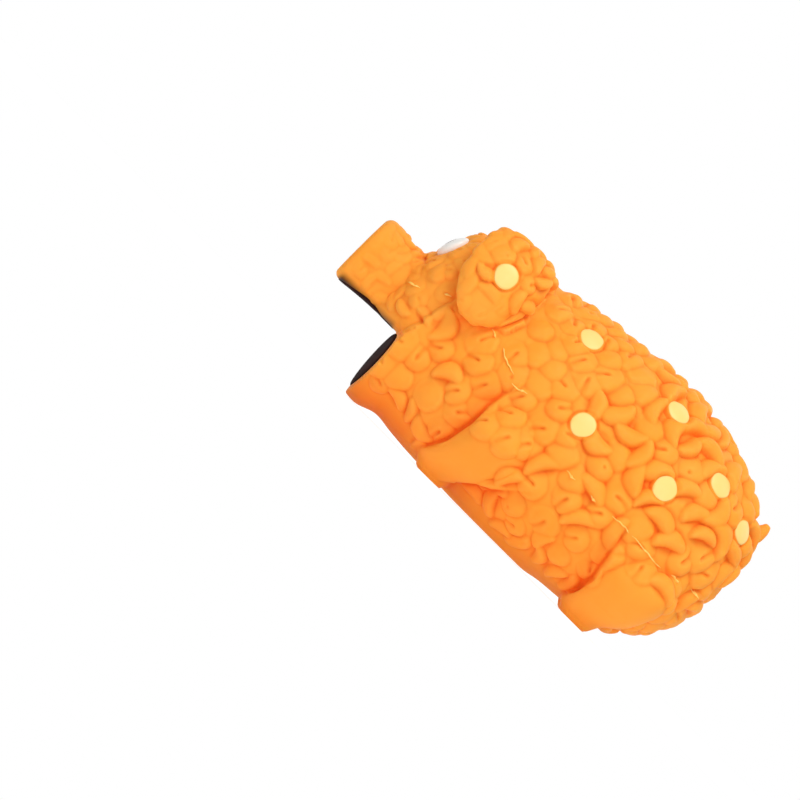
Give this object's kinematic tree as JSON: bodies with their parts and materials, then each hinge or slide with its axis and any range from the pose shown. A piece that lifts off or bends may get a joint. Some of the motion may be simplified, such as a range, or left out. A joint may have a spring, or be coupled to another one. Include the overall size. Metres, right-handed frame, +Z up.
{
  "type": "squeaky dog toy",
  "caption": "Stuffed latex pig-shaped dog toy with a curly moulded coat, painted spots, an open mouth and a bellows squeaker in its belly.",
  "frame": {"origin": "on the floor under the middle of the toy's box", "axes": "+Z up, the face looks along -Y, the toy's left side is +X"},
  "size_m": [0.0768, 0.16, 0.0808],
  "materials": {
    "latex": "matte moulded latex with a slight sheen",
    "spot_paint": "flexible satin paint",
    "dark_paint": "flexible satin paint",
    "eye_paint": "flexible satin paint on a moulded dome",
    "fibre": "loose polyester fibre",
    "squeaker_plastic": "moulded polyethylene",
    "bellows_plastic": "blow-moulded soft polyethylene",
    "reed_metal": "rolled strip"
  },
  "bodies": {
    "toy": {"body_skin": "latex", "head_skin": "latex", "brow_skin": "latex", "snout_skin": "latex", "ear_left": "latex", "ear_right": "latex", "leg_front_left": "latex", "leg_front_right": "latex", "leg_rear_left": "latex", "leg_rear_right": "latex", "tail": "latex", "spot_left_1": "spot_paint", "spot_left_2": "spot_paint", "spot_left_3": "spot_paint", "spot_left_4": "spot_paint", "spot_left_5": "spot_paint", "spot_left_6": "spot_paint", "spot_right_1": "spot_paint", "spot_right_2": "spot_paint", "spot_right_3": "spot_paint", "spot_right_4": "spot_paint", "spot_right_5": "spot_paint", "spot_right_6": "spot_paint", "spot_ear_left": "spot_paint", "spot_ear_right": "spot_paint", "mouth_lining": "dark_paint", "palate": "dark_paint", "nostril_left": "dark_paint", "nostril_right": "dark_paint", "pupil_left": "dark_paint", "pupil_right": "dark_paint", "eye_left": "eye_paint", "eye_right": "eye_paint", "body_stuffing": "fibre", "head_stuffing": "fibre", "squeaker_base": "squeaker_plastic", "reed_holder": "squeaker_plastic", "reed_wedge_front": "squeaker_plastic", "reed_wedge_back": "squeaker_plastic", "squeaker_bellows": "bellows_plastic"},
    "squeaker_top": {"squeaker_cap": "squeaker_plastic", "back_wad": "fibre"},
    "reed_tongue": {"reed": "reed_metal"}
  },
  "joints": [
    {"name": "squeeze", "type": "slide", "parent": "toy", "child": "squeaker_top", "axis": [0, 0, -1], "range_m": [0, 0.012], "stiffness_N_per_m": 1500, "springref_m": -0.001, "deforming": ["squeaker_bellows"]},
    {"name": "reed_flex", "type": "hinge", "parent": "toy", "child": "reed_tongue", "pos_m": [0, 0.01592, 0.00575], "axis": [1, 0, 0], "range_deg": [-4, 4], "stiffness_Nm_per_rad": 0.004}
  ]
}
